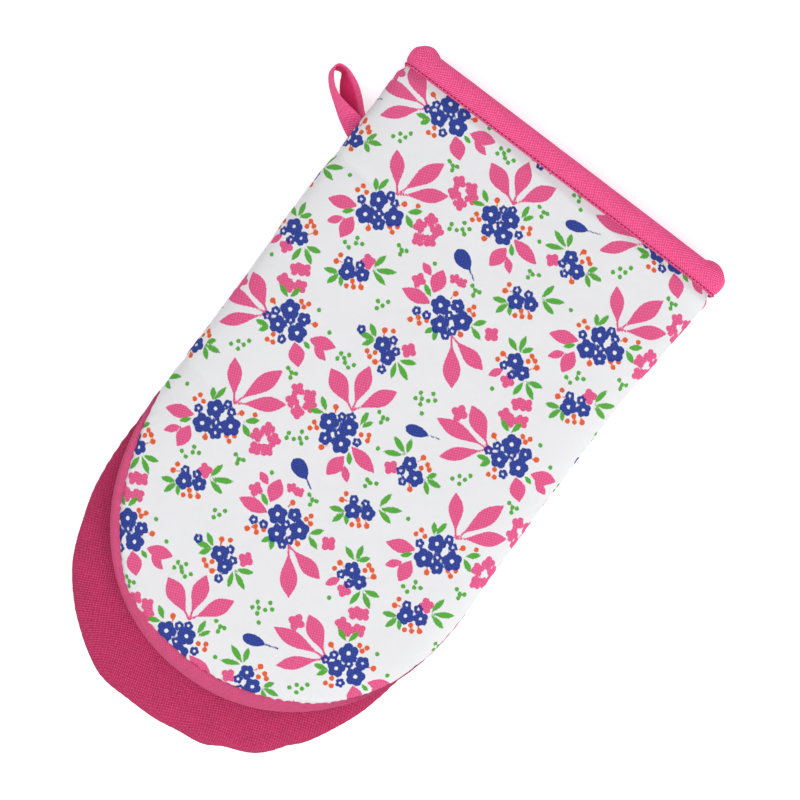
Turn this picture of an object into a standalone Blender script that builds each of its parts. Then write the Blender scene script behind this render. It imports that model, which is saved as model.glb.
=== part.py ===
"""Puppet-style oven mitt: a padded sleeve that ends in a finger pocket and a thumb pocket.

Metres, +Z up. The mitt lies on its palm side, with the cuff towards +Y and the tips towards -Y.
Every pocket is a pair of pads that meet at a side seam, and every pad is a cloth shell, a layer of
wadding and a lining. A point of a pad is found from its depth below the pad's outer skin.
"""

import math

import bmesh
import bpy

MM = 0.001

# Overall sizes, in millimetres
LENGTH = 331.0  # cuff binding to thumb tip
FOLD_WIDTH = 176.0  # at the bottom of the mouth
CUFF_WIDTH = 180.0  # of the padded cuff, inside the binding
CUFF_SHIFT_X = 3.5  # the cuff flares more on one side
FLARE_LENGTH = 90.0
SLEEVE_LENGTH = 204.5  # cuff binding to the bottom of the mouth
FINGER_LENGTH = 99.5  # bottom of the mouth to the finger tips
THUMB_STRAIGHT = 25.5  # the thumb pocket runs straight this far, then rounds
THUMB_WIDTH = 173.0
THUMB_SHIFT_X = -3.5
LEAN_LENGTH = 65.0  # the thumb pocket's sideways lean comes in over this length
FINGER_ROUNDNESS = 2.1  # superellipse exponents of the two tips
THUMB_ROUNDNESS = 2.2
CROWN = 3.5  # exponent of the pads' cross-section
FLAT_BOTTOM = 1.0  # how much of the palm's curve is pressed flat on the table

# Layers, from the skin inwards
SHELL = 0.6
WADDING = 3.5
LINING = 0.6
LAYER_GAP = 0.3
SEAM_GAP = 0.3
PAD = SHELL + WADDING + LINING + 2 * LAYER_GAP
LAYER_DEPTHS = {
    "shell": (0.0, SHELL),
    "wadding": (SHELL + LAYER_GAP, SHELL + LAYER_GAP + WADDING),
    "lining": (PAD - LINING, PAD),
}
THUMB_SPACE = 6.0  # free height inside the thumb pocket
FINGER_SPACE = 5.4
MOUTH_GAP = 1.0  # between the two jaws, at rest
THUMB_SEAM_SHARE = 0.34  # how far up each pocket's free height its side seam lies
FINGER_SEAM_SHARE = 0.22

# Cuff binding
BINDING_WIDTH = 11.0
BINDING_CLOTH = 1.2
BINDING_GAP = 0.3
BINDING_STEP = 2.5  # how far the stitched binding presses the pads in
BINDING_EASE = 6.0  # length over which the pads swell back
THREAD_RADIUS = 0.25
THREAD_INSET = 1.0  # from the binding's lower edge
THREAD_CLEARANCE = 0.3

# Hanging loop
LOOP_FROM_CUFF = 50.5  # to the middle of its sewn ends
LOOP_TAPE_WIDTH = 12.0
LOOP_TAPE_THICKNESS = 1.1
LOOP_REACH = 24.0
LOOP_LEAN = 16.0  # how far its end leans towards the cuff
LOOP_OPENING = 9.0
LOOP_STANDS_DEG = 58.0
LOOP_STANDS_BY = 0.625  # share of the reach at which the tape stands fully
LOOP_SWEEP = 0.35  # how much the standing tape's width turns towards the sleeve
LOOP_SEAM_GAP = 0.4
LOOP_BENDS_AT = 2.2  # the loop bends this far outside the seam

# Mouth joint
MOUTH_OPENS_DEG = 60.0
MITRE_CLEARANCE = 0.4

# Places that follow from the sizes
CUFF_Y = LENGTH / 2 - BINDING_CLOTH - BINDING_GAP  # edge of the padded cuff
FOLD_Y = LENGTH / 2 - SLEEVE_LENGTH
FINGER_TIP_Y = FOLD_Y - FINGER_LENGTH
THUMB_ROUND_Y = FOLD_Y - THUMB_STRAIGHT
THUMB_TIP_Y = -LENGTH / 2
LOOP_Y = LENGTH / 2 - LOOP_FROM_CUFF
MOUTH_BOTTOM_Z = 2 * PAD + THUMB_SPACE
MOUTH_TOP_Z = MOUTH_BOTTOM_Z + MOUTH_GAP
FOLD_Z = MOUTH_BOTTOM_Z + MOUTH_GAP / 2
HEIGHT = MOUTH_TOP_Z + 2 * PAD + FINGER_SPACE
CUFF_SEAM_Z = HEIGHT / 2
THUMB_SEAM_Z = PAD + THUMB_SEAM_SHARE * THUMB_SPACE
FINGER_SEAM_Z = MOUTH_TOP_Z + PAD + FINGER_SEAM_SHARE * FINGER_SPACE

# Mesh steps
ACROSS = 16
SLEEVE_ROWS = 5
ROW_LENGTH = 30.0
TIP_ROWS = 8
THREAD_SIDES = 6
LOOP_STEPS = 36
EYE_PEAK = 4 / (3 * math.sqrt(3))  # greatest value of the curve that opens the loop's eye

COLOURS = {
    "print": (0.86, 0.86, 0.88),
    "pink": (0.74, 0.04, 0.16),
    "wadding": (0.93, 0.92, 0.88),
    "lining": (0.88, 0.87, 0.84),
    "thread": (0.36, 0.02, 0.08),
}


def clear_scene():
    for obj in list(bpy.data.objects):
        bpy.data.objects.remove(obj, do_unlink=True)


def fabric(kind):
    """A plain woven cloth of the kind's colour, made once."""
    if kind in bpy.data.materials:
        return bpy.data.materials[kind]
    material = bpy.data.materials.new(kind)
    material.use_nodes = True
    shader = material.node_tree.nodes["Principled BSDF"]
    shader.inputs["Base Color"].default_value = (*COLOURS[kind], 1.0)
    shader.inputs["Roughness"].default_value = 0.9
    shader.inputs["Metallic"].default_value = 0.0
    return material


def add_joint(name, x, y, z):
    """An empty on a joint's axis, which carries the pieces that turn about it."""
    joint = bpy.data.objects.new(name, None)
    joint.location = (x * MM, y * MM, z * MM)
    bpy.context.scene.collection.objects.link(joint)
    return joint


def add_solid(name, verts, faces, kind, joint=None):
    """One closed mesh object from points in millimetres. Its origin is its joint's."""
    ox, oy, oz = joint.location if joint else (0, 0, 0)
    mesh = bpy.data.meshes.new(name)
    mesh.from_pydata([(x * MM - ox, y * MM - oy, z * MM - oz) for x, y, z in verts], [], faces)
    body = bmesh.new()
    body.from_mesh(mesh)
    bmesh.ops.remove_doubles(body, verts=body.verts, dist=1e-6)
    bmesh.ops.dissolve_degenerate(body, edges=body.edges, dist=1e-6)
    bmesh.ops.recalc_face_normals(body, faces=body.faces)
    body.to_mesh(mesh)
    body.free()
    mesh.shade_smooth()
    mesh.set_sharp_from_angle(angle=math.radians(40))
    mesh.materials.append(fabric(kind))
    obj = bpy.data.objects.new(name, mesh)
    bpy.context.scene.collection.objects.link(obj)
    obj.parent = joint
    return obj


def smooth(t):
    t = min(1.0, max(0.0, t))
    return t * t * (3 - 2 * t)


def blend(a, b, t):
    return a + (b - a) * t


def round_off(t, power):
    """Quarter of a superellipse: 1 at t = 0, falling to 0 at t = 1."""
    return max(0.0, 1 - min(1.0, t) ** power) ** (1 / power)


def below_binding(y):
    """Distance from the cuff binding's lower edge; 0 all the way under the binding, where the pads run straight."""
    return max(0.0, CUFF_Y - BINDING_WIDTH - y)


def flare(y):
    """0 along the sleeve, rising to 1 at the cuff binding."""
    return smooth(1 - below_binding(y) / FLARE_LENGTH)


def lean(y):
    """0 along the sleeve, rising to 1 in the thumb pocket."""
    return smooth((FOLD_Y + LEAN_LENGTH / 3 - y) / LEAN_LENGTH)


def pressed(y):
    """How far the cuff binding presses the pads in at y."""
    start = CUFF_Y - BINDING_WIDTH - BINDING_EASE
    return BINDING_STEP * smooth((y - start) / BINDING_EASE)


def sleeve_seam_z(y):
    return blend(THUMB_SEAM_Z, CUFF_SEAM_Z, smooth(1 - below_binding(y) / below_binding(FOLD_Y)))


def finger_seam_z(y):
    return FINGER_SEAM_Z


class Pad:
    """One side of a pocket: where its skin, and anything at a depth below it, lies."""

    def __init__(self, side, seam_z, far_z, round_y, tip_y, roundness, leans=False):
        self.side = side  # 1 above the seam, -1 below it
        self.seam_z = seam_z
        self.far_z = far_z  # the skin's height away from the seam
        self.round_y = round_y
        self.tip_y = tip_y
        self.roundness = roundness
        self.leans = leans
        self.flat = FLAT_BOTTOM if far_z == 0 else 0.0

    def rise(self, y):
        return abs(self.far_z - self.seam_z(y)) - pressed(y)

    def centre_x(self, y):
        return CUFF_SHIFT_X * flare(y) + (THUMB_SHIFT_X * lean(y) if self.leans else 0.0)

    def half_width(self, y):
        tip_width = THUMB_WIDTH if self.leans else FOLD_WIDTH
        return blend(blend(FOLD_WIDTH, CUFF_WIDTH, flare(y)), tip_width, lean(y)) / 2

    def point(self, y, angle, depth):
        """The point at this angle of the cross-section (0 and pi are the seams) and depth."""
        t = max(0.0, (self.round_y - y) / (self.round_y - self.tip_y - depth))
        wide = (self.half_width(y) - depth) * round_off(t, self.roundness)
        high = (self.rise(y) + self.flat - depth) * round_off(t, CROWN)
        cos, sin = math.cos(angle), max(0.0, math.sin(angle))
        x = self.centre_x(y) + wide * math.copysign(abs(cos) ** (2 / CROWN), cos)
        up = min(high * sin ** (2 / CROWN), self.rise(y) - depth)
        return x, y, self.seam_z(y) + self.side * max(SEAM_GAP / 2, up)


BACK = Pad(1, sleeve_seam_z, HEIGHT, -10 * LENGTH, -20 * LENGTH, CROWN)
PALM = Pad(-1, sleeve_seam_z, 0.0, THUMB_ROUND_Y, THUMB_TIP_Y, THUMB_ROUNDNESS, leans=True)
THUMB_GRIP = Pad(1, sleeve_seam_z, MOUTH_BOTTOM_Z, THUMB_ROUND_Y, THUMB_TIP_Y, THUMB_ROUNDNESS, leans=True)
FINGER = Pad(1, finger_seam_z, HEIGHT, FOLD_Y, FINGER_TIP_Y, FINGER_ROUNDNESS)
FINGER_GRIP = Pad(-1, finger_seam_z, MOUTH_TOP_Z, FOLD_Y, FINGER_TIP_Y, FINGER_ROUNDNESS)

ANGLES = [math.pi * i / ACROSS for i in range(ACROSS + 1)]


def rows(pad, depth, start_y, to_tip):
    """The stations along the pad, from start_y to the fold or round the tip."""
    ys = []
    if start_y == CUFF_Y:
        pressed_y = CUFF_Y - BINDING_WIDTH
        ys = [CUFF_Y, pressed_y, pressed_y - BINDING_EASE / 2]
        start_y = pressed_y - BINDING_EASE
    if not to_tip:
        return ys + [blend(start_y, FOLD_Y, i / SLEEVE_ROWS) for i in range(SLEEVE_ROWS + 1)]
    straight = round((start_y - pad.round_y) / ROW_LENGTH)
    ys += [blend(start_y, pad.round_y, i / straight) for i in range(straight)]
    reach = pad.round_y - pad.tip_y - depth
    return ys + [pad.round_y - reach * math.sin(math.pi / 2 * i / TIP_ROWS) for i in range(TIP_ROWS + 1)]


def mitred(pad, angle, depth, direction):
    """A pad's end by the mouth joint, cut back by half the opening so that the jaw can lift."""
    slope = math.tan(math.radians(MOUTH_OPENS_DEG / 2))
    y = FOLD_Y
    for _ in range(4):
        z = pad.point(y, angle, depth)[2]
        y = FOLD_Y + direction * (MITRE_CLEARANCE + slope * max(0.0, z - FOLD_Z))
    return pad.point(y, angle, depth)


def surface(pad, depth, ys, mitre):
    """Rows of points at one depth. mitre is 1 or -1 where the end by the fold is cut back, else 0."""
    grid = [[pad.point(y, angle, depth) for angle in ANGLES] for y in ys]
    if mitre:
        grid[-1 if mitre > 0 else 0] = [mitred(pad, angle, depth, mitre) for angle in ANGLES]
    return grid


def pad_layer(name, pad, layer, start_y, to_tip, mitre, kind, joint):
    """The closed solid of one layer of a pad."""
    outer_depth, inner_depth = LAYER_DEPTHS[layer]
    outer = surface(pad, outer_depth, rows(pad, outer_depth, start_y, to_tip), mitre)
    inner = surface(pad, inner_depth, rows(pad, inner_depth, start_y, to_tip), mitre)
    count, width = len(outer), len(ANGLES)

    def at(side, row, column):
        return (side * count + row) * width + column

    faces = []
    for row in range(count - 1):
        for column in range(width - 1):
            for side in (0, 1):
                low, high = at(side, row, column), at(side, row + 1, column)
                faces.append([low, low + 1, high + 1, high])
        for column in (0, width - 1):
            faces.append([at(0, row, column), at(0, row + 1, column), at(1, row + 1, column), at(1, row, column)])
    for row in (0,) if to_tip else (0, count - 1):
        for column in range(width - 1):
            out, into = at(0, row, column), at(1, row, column)
            faces.append([out, out + 1, into + 1, into])
    return add_solid(name, [point for row in outer + inner for point in row], faces, kind, joint)


def build_pads(mouth_joint):
    """Shell, wadding and lining of each pad. The back is cut at the fold, where the finger pocket lifts."""
    pads = [
        ("back", BACK, CUFF_Y, False, 1, "print", None),
        ("palm", PALM, CUFF_Y, True, 0, "print", None),
        ("thumb_grip", THUMB_GRIP, FOLD_Y, True, 0, "pink", None),
        ("finger", FINGER, FOLD_Y, True, -1, "print", mouth_joint),
        ("finger_grip", FINGER_GRIP, FOLD_Y, True, -1, "pink", mouth_joint),
    ]
    for name, pad, start_y, to_tip, mitre, cloth, joint in pads:
        for layer, kind in (("shell", cloth), ("wadding", "wadding"), ("lining", "lining")):
            pad_layer(f"{name}_{layer}", pad, layer, start_y, to_tip, mitre, kind, joint)


def cuff_ring(name, profile, kind):
    """A closed ring round the cuff. The profile is a list of (depth below the pressed skin, y)."""
    stations = [(BACK, angle) for angle in ANGLES] + [(PALM, angle) for angle in reversed(ANGLES)]
    verts = []
    for pad, angle in stations:
        for depth, y in profile:
            x, _, z = pad.point(CUFF_Y, angle, depth)
            verts.append((x, y, z))
    count = len(profile)
    faces = []
    for i in range(len(stations)):
        after = (i + 1) % len(stations)
        for k in range(count):
            follow = (k + 1) % count
            faces.append([i * count + k, i * count + follow, after * count + follow, after * count + k])
    return add_solid(name, verts, faces, kind)


def build_binding():
    """Folded tape that wraps the cuff's edge, outside and inside."""
    outside = -BINDING_GAP
    inside = PAD + BINDING_GAP
    low, high = CUFF_Y - BINDING_WIDTH, CUFF_Y + BINDING_GAP
    fold = high + BINDING_CLOTH
    profile = [
        (outside - BINDING_CLOTH, low),
        (outside, low),
        (outside, high),
        (inside, high),
        (inside, low),
        (inside + BINDING_CLOTH, low),
        (inside + BINDING_CLOTH, high),
        (inside, fold),
        (outside, fold),
        (outside - BINDING_CLOTH, high),
    ]
    cuff_ring("cuff_binding", profile, "pink")


def build_thread():
    """The line of topstitching round the binding's lower edge."""
    depth = -BINDING_GAP - BINDING_CLOTH - THREAD_CLEARANCE - THREAD_RADIUS
    y = CUFF_Y - BINDING_WIDTH + THREAD_INSET
    turns = [2 * math.pi * k / THREAD_SIDES for k in range(THREAD_SIDES)]
    profile = [(depth + THREAD_RADIUS * math.cos(a), y + THREAD_RADIUS * math.sin(a)) for a in turns]
    cuff_ring("cuff_thread", profile, "thread")


def sleeve_edge_x(y):
    return BACK.centre_x(y) - BACK.half_width(y)


# The tape's sewn ends stay clear of the sleeve's edge across their whole width.
LOOP_SEAM_X = min(sleeve_edge_x(LOOP_Y + share * LOOP_TAPE_WIDTH / 2) for share in (-1, 0, 1))
LOOP_SEAM_Z = sleeve_seam_z(LOOP_Y)


def loop_station(t):
    """The tape's middle and its width direction. t runs from one sewn end (0) round to the other (1).

    The tape leaves the side seam flat, opens into a drop-shaped eye and stands on edge at its tip.
    """
    out = (1 - math.cos(2 * math.pi * t)) / 2
    spread = math.sin(2 * math.pi * t) * math.sin(math.pi * t) / EYE_PEAK
    x = LOOP_SEAM_X - LOOP_SEAM_GAP - LOOP_REACH * out
    y = LOOP_Y + LOOP_LEAN * out - LOOP_OPENING / 2 * spread
    z = LOOP_SEAM_Z + (0.5 - t) * (LOOP_TAPE_THICKNESS + SEAM_GAP) * (1 + out)
    stand = math.radians(LOOP_STANDS_DEG) * smooth(out / LOOP_STANDS_BY)
    return (x, y, z), unit((-LOOP_SWEEP * math.sin(stand), math.cos(stand), math.sin(stand)))


def unit(v):
    size = math.sqrt(sum(c * c for c in v))
    return [c / size for c in v]


def cross(a, b):
    return a[1] * b[2] - a[2] * b[1], a[2] * b[0] - a[0] * b[2], a[0] * b[1] - a[1] * b[0]


def build_loop():
    """The folded tape of the hanging loop, as one closed strip that bends just outside the seam."""
    joint = add_joint("loop_joint", LOOP_SEAM_X - LOOP_BENDS_AT, LOOP_Y, LOOP_SEAM_Z)
    stations = [loop_station(i / LOOP_STEPS) for i in range(LOOP_STEPS + 1)]
    verts = []
    for i, (middle, across) in enumerate(stations):
        before, after = stations[max(0, i - 1)][0], stations[min(LOOP_STEPS, i + 1)][0]
        normal = unit(cross(across, [b - a for a, b in zip(before, after)]))
        for side, face in ((-1, -1), (1, -1), (1, 1), (-1, 1)):
            wide, thick = side * LOOP_TAPE_WIDTH / 2, face * LOOP_TAPE_THICKNESS / 2
            verts.append([m + wide * a + thick * n for m, a, n in zip(middle, across, normal)])
    faces = [[0, 1, 2, 3], [4 * LOOP_STEPS + k for k in range(4)]]
    for i in range(LOOP_STEPS):
        for k in range(4):
            follow = (k + 1) % 4
            faces.append([4 * i + k, 4 * i + follow, 4 * i + 4 + follow, 4 * i + 4 + k])
    return add_solid("hanging_loop", verts, faces, "pink", joint)


clear_scene()
build_pads(add_joint("mouth_joint", 0.0, FOLD_Y, FOLD_Z))
build_binding()
build_thread()
build_loop()
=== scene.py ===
import math

import bpy
import numpy as np
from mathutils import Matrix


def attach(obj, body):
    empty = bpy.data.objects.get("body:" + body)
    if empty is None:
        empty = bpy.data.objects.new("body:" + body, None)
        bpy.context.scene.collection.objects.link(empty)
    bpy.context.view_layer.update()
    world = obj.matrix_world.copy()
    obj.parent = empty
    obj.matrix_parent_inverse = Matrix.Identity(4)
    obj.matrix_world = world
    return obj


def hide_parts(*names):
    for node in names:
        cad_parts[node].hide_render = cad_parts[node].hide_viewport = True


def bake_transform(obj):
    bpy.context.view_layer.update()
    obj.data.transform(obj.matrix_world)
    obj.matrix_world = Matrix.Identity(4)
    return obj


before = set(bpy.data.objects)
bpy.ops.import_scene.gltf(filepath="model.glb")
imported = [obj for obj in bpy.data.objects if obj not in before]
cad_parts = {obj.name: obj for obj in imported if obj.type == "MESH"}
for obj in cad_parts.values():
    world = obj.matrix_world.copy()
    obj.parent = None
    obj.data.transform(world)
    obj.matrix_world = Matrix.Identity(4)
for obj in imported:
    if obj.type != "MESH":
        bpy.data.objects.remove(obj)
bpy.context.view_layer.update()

# Lengths are in millimetres until a mesh is made. The mitt lies on its palm, cuff towards +Y.
mm = 0.001


cameraLook = {"aim": (4.73, 23.6), "height": 1513.0, "turn": 36.2, "lens": 144.0, "sensor": 36.0, "far": 20.0}
keyLight = {"place": (1500.0, -800.0, 1350.0), "size": 900.0, "watts": 20.0}
topLight = {"place": (100.0, -300.0, 2400.0), "size": 2000.0, "watts": 31.0}
skyStrength = 0.72
floorLook = {"size": 6000.0, "below": 0.3, "white": 0.95, "glow": 0.3, "roughness": 0.9}
clothShine = 0.25


def toLinear(red, green, blue):
    # Screen colour to linear light: c/12.92 when dark, else ((c + 0.055)/1.055)^2.4.
    c = np.array([red, green, blue]) / 255.0
    return tuple(np.where(c <= 0.04045, c / 12.92, ((c + 0.055) / 1.055) ** 2.4).tolist()) + (1.0,)


def makeCamera(look):
    data = bpy.data.cameras.new("camera")
    data.lens = look["lens"]
    data.sensor_width = look["sensor"]
    data.clip_end = look["far"]
    camera = bpy.data.objects.new("camera", data)
    camera.location = (look["aim"][0] * mm, look["aim"][1] * mm, look["height"] * mm)
    camera.rotation_euler = (0.0, 0.0, math.radians(look["turn"]))
    bpy.context.collection.objects.link(camera)
    bpy.context.scene.camera = camera


def makeLight(name, light):
    data = bpy.data.lights.new(name, "AREA")
    data.energy = light["watts"]
    data.size = light["size"] * mm
    lamp = bpy.data.objects.new(name, data)
    place = np.array(light["place"]) * mm
    lamp.location = place
    flat = math.hypot(place[0], place[1])
    lamp.rotation_euler = (math.atan2(flat, place[2]), 0.0, math.atan2(place[0], -place[1]))
    bpy.context.collection.objects.link(lamp)


def makeSky(strength):
    world = bpy.data.worlds.new("sky")
    world.use_nodes = True
    sky = world.node_tree.nodes["Background"]
    sky.inputs["Color"].default_value = (1.0, 1.0, 1.0, 1.0)
    sky.inputs["Strength"].default_value = strength
    bpy.context.scene.world = world


makeCamera(cameraLook)
makeLight("key", keyLight)
makeLight("top", topLight)
makeSky(skyStrength)
bpy.context.scene.view_settings.view_transform = "Standard"


class Wire:
    # One shader value. Arithmetic on it adds Math nodes.
    def __init__(self, look, socket):
        self.look = look
        self.socket = socket

    def maths(self, operation, *others):
        return self.look.add("ShaderNodeMath", {"operation": operation}, dict(enumerate((self,) + others))).out()

    def flipped(self, operation, first):
        return self.look.add("ShaderNodeMath", {"operation": operation}, {0: first, 1: self}).out()

    def __add__(self, other):
        return self.maths("ADD", other)

    def __sub__(self, other):
        return self.maths("SUBTRACT", other)

    def __mul__(self, other):
        return self.maths("MULTIPLY", other)

    def __truediv__(self, other):
        return self.maths("DIVIDE", other)

    def __pow__(self, other):
        return self.maths("POWER", other)

    def __rsub__(self, other):
        return self.flipped("SUBTRACT", other)

    def __rtruediv__(self, other):
        return self.flipped("DIVIDE", other)

    def __neg__(self):
        return self * -1.0

    def __abs__(self):
        return self.maths("ABSOLUTE")

    __radd__ = __add__
    __rmul__ = __mul__

    def sin(self):
        return self.maths("SINE")

    def clamped(self):
        return self.maths("MAXIMUM", 0.0).maths("MINIMUM", 1.0)


class Added:
    # A node that was added to a look.
    def __init__(self, look, node):
        self.look = look
        self.node = node

    def out(self, name=0):
        return Wire(self.look, self.node.outputs[name])


class Look:
    # One material: a Principled shader and the nodes that feed it.
    def __init__(self, name, roughness):
        self.material = bpy.data.materials.new(name)
        self.material.use_nodes = True
        self.tree = self.material.node_tree
        self.shader = self.tree.nodes["Principled BSDF"]
        self.shader.inputs["Roughness"].default_value = roughness
        self.shader.inputs["Specular IOR Level"].default_value = clothShine

    def add(self, kind, settings, values):
        node = self.tree.nodes.new(kind)
        for key, value in settings.items():
            setattr(node, key, value)
        for key, value in values.items():
            self.feed(node.inputs[key], value)
        return Added(self, node)

    def feed(self, socket, value):
        if isinstance(value, Wire):
            self.tree.links.new(value.socket, socket)
        else:
            socket.default_value = value

    def value(self, name):
        return self.add("ShaderNodeAttribute", {"attribute_name": name}, {}).out("Fac")

    def cloth(self):
        spot = self.add("ShaderNodeAttribute", {"attribute_name": "clothSpot"}, {}).out("Vector")
        apart = self.add("ShaderNodeSeparateXYZ", {}, {0: spot})
        return spot, apart.out("X"), apart.out("Y")

    def noise(self, spot, scale, detail=2.0):
        return self.add("ShaderNodeTexNoise", {}, {"Vector": spot, "Scale": scale, "Detail": detail}).out(0)

    def mix(self, factor, first, second):
        return self.add("ShaderNodeMix", {"data_type": "RGBA"}, {0: factor, 6: first, 7: second}).out(2)

    def bump(self, height, distance):
        bumped = self.add("ShaderNodeBump", {}, {"Distance": distance, "Height": height}).out()
        self.feed(self.shader.inputs["Normal"], bumped)


def weave(u, v, pitch):
    # Plain weave of threads a pitch apart: ridges |sin(pi u/p)| and |sin(pi v/p)|, whichever is on top by sin*sin.
    across = (u * (math.pi / pitch)).sin()
    along = (v * (math.pi / pitch)).sin()
    over = across * along * 0.5 + 0.5
    return abs(across) * over + abs(along) * (1.0 - over), over


printInk = {
    "pinkInk": toLinear(206, 54, 116),
    "greenInk": toLinear(66, 152, 30),
    "orangeInk": toLinear(208, 76, 10),
    "blueInk": toLinear(6, 42, 132),
}
# How much of the white threads shows through each ink.
weaveShows = {"pinkInk": 0.75, "greenInk": 0.3, "orangeInk": 0.3, "blueInk": 0.25}
clothWhite = {
    "light": toLinear(236, 236, 237), "shade": toLinear(202, 202, 205), "pitch": 0.52, "bump": 0.0002,
    "roughness": 0.92, "lowThread": 0.35, "raggedScale": 0.9, "ragged": 0.7, "edge": 0.3, "fullest": 0.99,
    "threadPower": 3.0, "patchScale": 1.1, "fuzzScale": 0.25, "fuzz": 1.5,
}
# In canvas, rolled sets how much painted light the finger pocket's rolled band gets: its colour is lifted towards the
# dots' colour.
canvas = {
    "roughness": 0.9, "wornScale": 0.12, "detail": 4.0, "patchScale": 0.8, "patchGain": 1.3, "dotPower": 2.0,
    "rolledBandPaintedLight": 0.3, "inside": 0.85, "bump": 0.00025,
}
# The inside strength in canvas and the inside colour of each pink are painted shade for the inner face of the hanging
# loop.
canvasPink = {
    "light": toLinear(178, 6, 76), "shade": toLinear(142, 3, 56), "dots": toLinear(238, 116, 162),
    "inside": toLinear(130, 8, 50), "pitch": 0.54, "strength": 1.1,
}
tapePink = {
    "light": toLinear(226, 54, 120), "shade": toLinear(206, 38, 102), "dots": toLinear(252, 150, 192),
    "inside": toLinear(200, 14, 86), "pitch": 0.55, "strength": 1.4,
}


def makePrintLook():
    look = Look("printCloth", clothWhite["roughness"])
    spot, u, v = look.cloth()
    height, over = weave(u, v, clothWhite["pitch"])
    ragged = look.noise(spot, clothWhite["raggedScale"])
    colour = look.mix((height - clothWhite["lowThread"]).clamped(), clothWhite["shade"], clothWhite["light"])
    for name, ink in printInk.items():
        # Ink covers where its distance is below zero, with a slightly ragged edge and the weave showing through.
        covered = ((ragged - 0.5) * clothWhite["ragged"] - look.value(name)) / clothWhite["edge"] + 0.5
        patchy = look.noise(spot, clothWhite["patchScale"])
        showing = (over ** clothWhite["threadPower"]) * height * patchy * weaveShows[name]
        colour = look.mix(covered.clamped() * (clothWhite["fullest"] - showing).clamped(), colour, ink)
    look.feed(look.shader.inputs["Base Color"], colour)
    look.bump(height + look.noise(spot, clothWhite["fuzzScale"]) * clothWhite["fuzz"], clothWhite["bump"])
    return look.material


def makeCanvasLook(name, colours):
    # Two pinks worn unevenly, with lighter dots where a thread comes up.
    look = Look(name, canvas["roughness"])
    spot, u, v = look.cloth()
    height, over = weave(u, v, colours["pitch"])
    worn = look.noise(spot, canvas["wornScale"], canvas["detail"])
    colour = look.mix(worn, colours["shade"], colours["light"])
    patchy = look.noise(spot, canvas["patchScale"]) * canvas["patchGain"]
    dotted = (over ** canvas["dotPower"]) * height * patchy * colours["strength"]
    colour = look.mix(dotted.clamped(), colour, colours["dots"])
    # Painted light: the finger pocket's rolled band is lightened towards the dots' colour.
    colour = look.mix(look.value("rolledBandPaintedLight") * canvas["rolledBandPaintedLight"], colour, colours["dots"])
    # Painted shade: the inner face of the hanging loop is darkened towards the inside colour.
    colour = look.mix(look.value("inside") * canvas["inside"], colour, colours["inside"])
    look.feed(look.shader.inputs["Base Color"], colour)
    look.bump(height + worn, canvas["bump"])
    return look.material


plain = {"darker": 0.9, "detail": 4.0, "bump": 0.0003}


def makePlainLook(name, colour, roughness, grain):
    look = Look(name, roughness)
    spot, u, v = look.cloth()
    fuzz = look.noise(spot, grain, plain["detail"])
    shade = tuple(plain["darker"] * c for c in colour[:3]) + (1.0,)
    look.feed(look.shader.inputs["Base Color"], look.mix(fuzz, colour, shade))
    look.bump(fuzz, plain["bump"])
    return look.material


printCloth = makePrintLook()
gripCloth = makeCanvasLook("gripCloth", canvasPink)
tapeCloth = makeCanvasLook("tapeCloth", tapePink)
liningCloth = makePlainLook("liningCloth", toLinear(236, 233, 226), 0.95, 3.0)
waddingFelt = makePlainLook("waddingFelt", toLinear(243, 241, 235), 1.0, 1.5)
stitchThread = makePlainLook("stitchThread", toLinear(104, 6, 44), 0.7, 4.0)
print("materials made")


def makeMesh(name, points, faceSets, material, spots, values=None):
    # points and spots (cloth place, u and v) are in millimetres. faceSets are arrays of one face size each.
    mesh = bpy.data.meshes.new(name)
    loops = np.concatenate([f.ravel() for f in faceSets]).astype(np.int32)
    sizes = np.concatenate([np.full(len(f), f.shape[1]) for f in faceSets])
    mesh.vertices.add(len(points))
    mesh.vertices.foreach_set("co", (points * mm).astype(np.float32).ravel())
    mesh.loops.add(len(loops))
    mesh.loops.foreach_set("vertex_index", loops)
    mesh.polygons.add(len(sizes))
    mesh.polygons.foreach_set("loop_start", (np.cumsum(sizes) - sizes).astype(np.int32))
    mesh.update(calc_edges=True)
    mesh.validate()
    mesh.shade_smooth()
    spot = mesh.attributes.new("clothSpot", "FLOAT_VECTOR", "POINT")
    spot.data.foreach_set("vector", np.column_stack([spots, np.zeros(len(spots))]).astype(np.float32).ravel())
    for key, column in (values or {}).items():
        mesh.attributes.new(key, "FLOAT", "POINT").data.foreach_set("value", column.astype(np.float32))
    mesh.materials.append(material)
    obj = bpy.data.objects.new(name, mesh)
    bpy.context.collection.objects.link(obj)
    return obj


def gridFaces(rows, columns, up):
    index = np.arange(rows * columns).reshape(rows, columns)
    a, b = index[:-1, :-1].ravel(), index[1:, :-1].ravel()
    c, d = index[1:, 1:].ravel(), index[:-1, 1:].ravel()
    return np.column_stack([a, b, c, d]) if up else np.column_stack([d, c, b, a])


def gridLoop(rows, columns, up):
    # The border, in the direction that the border's faces run.
    index = np.arange(rows * columns).reshape(rows, columns)
    sides = [index[:-1, 0], index[-1, :-1], index[:0:-1, -1], index[0, :0:-1]]
    loop = np.concatenate(sides)
    return loop if up else np.roll(loop[::-1], 1)


def closeShell(outerCount, faces, outerLoop, innerFaces, innerLoop, step):
    # Joins an outer and an inner skin by one face per inner border edge. Each spans step outer edges.
    count = len(innerLoop)
    start = np.arange(count) * step
    outerRun = [outerLoop[(start + k) % len(outerLoop)] for k in range(step, -1, -1)]
    innerRun = [innerLoop + outerCount, np.roll(innerLoop, -1) + outerCount]
    return [faces, innerFaces[:, ::-1] + outerCount, np.column_stack(outerRun + innerRun)]


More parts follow.
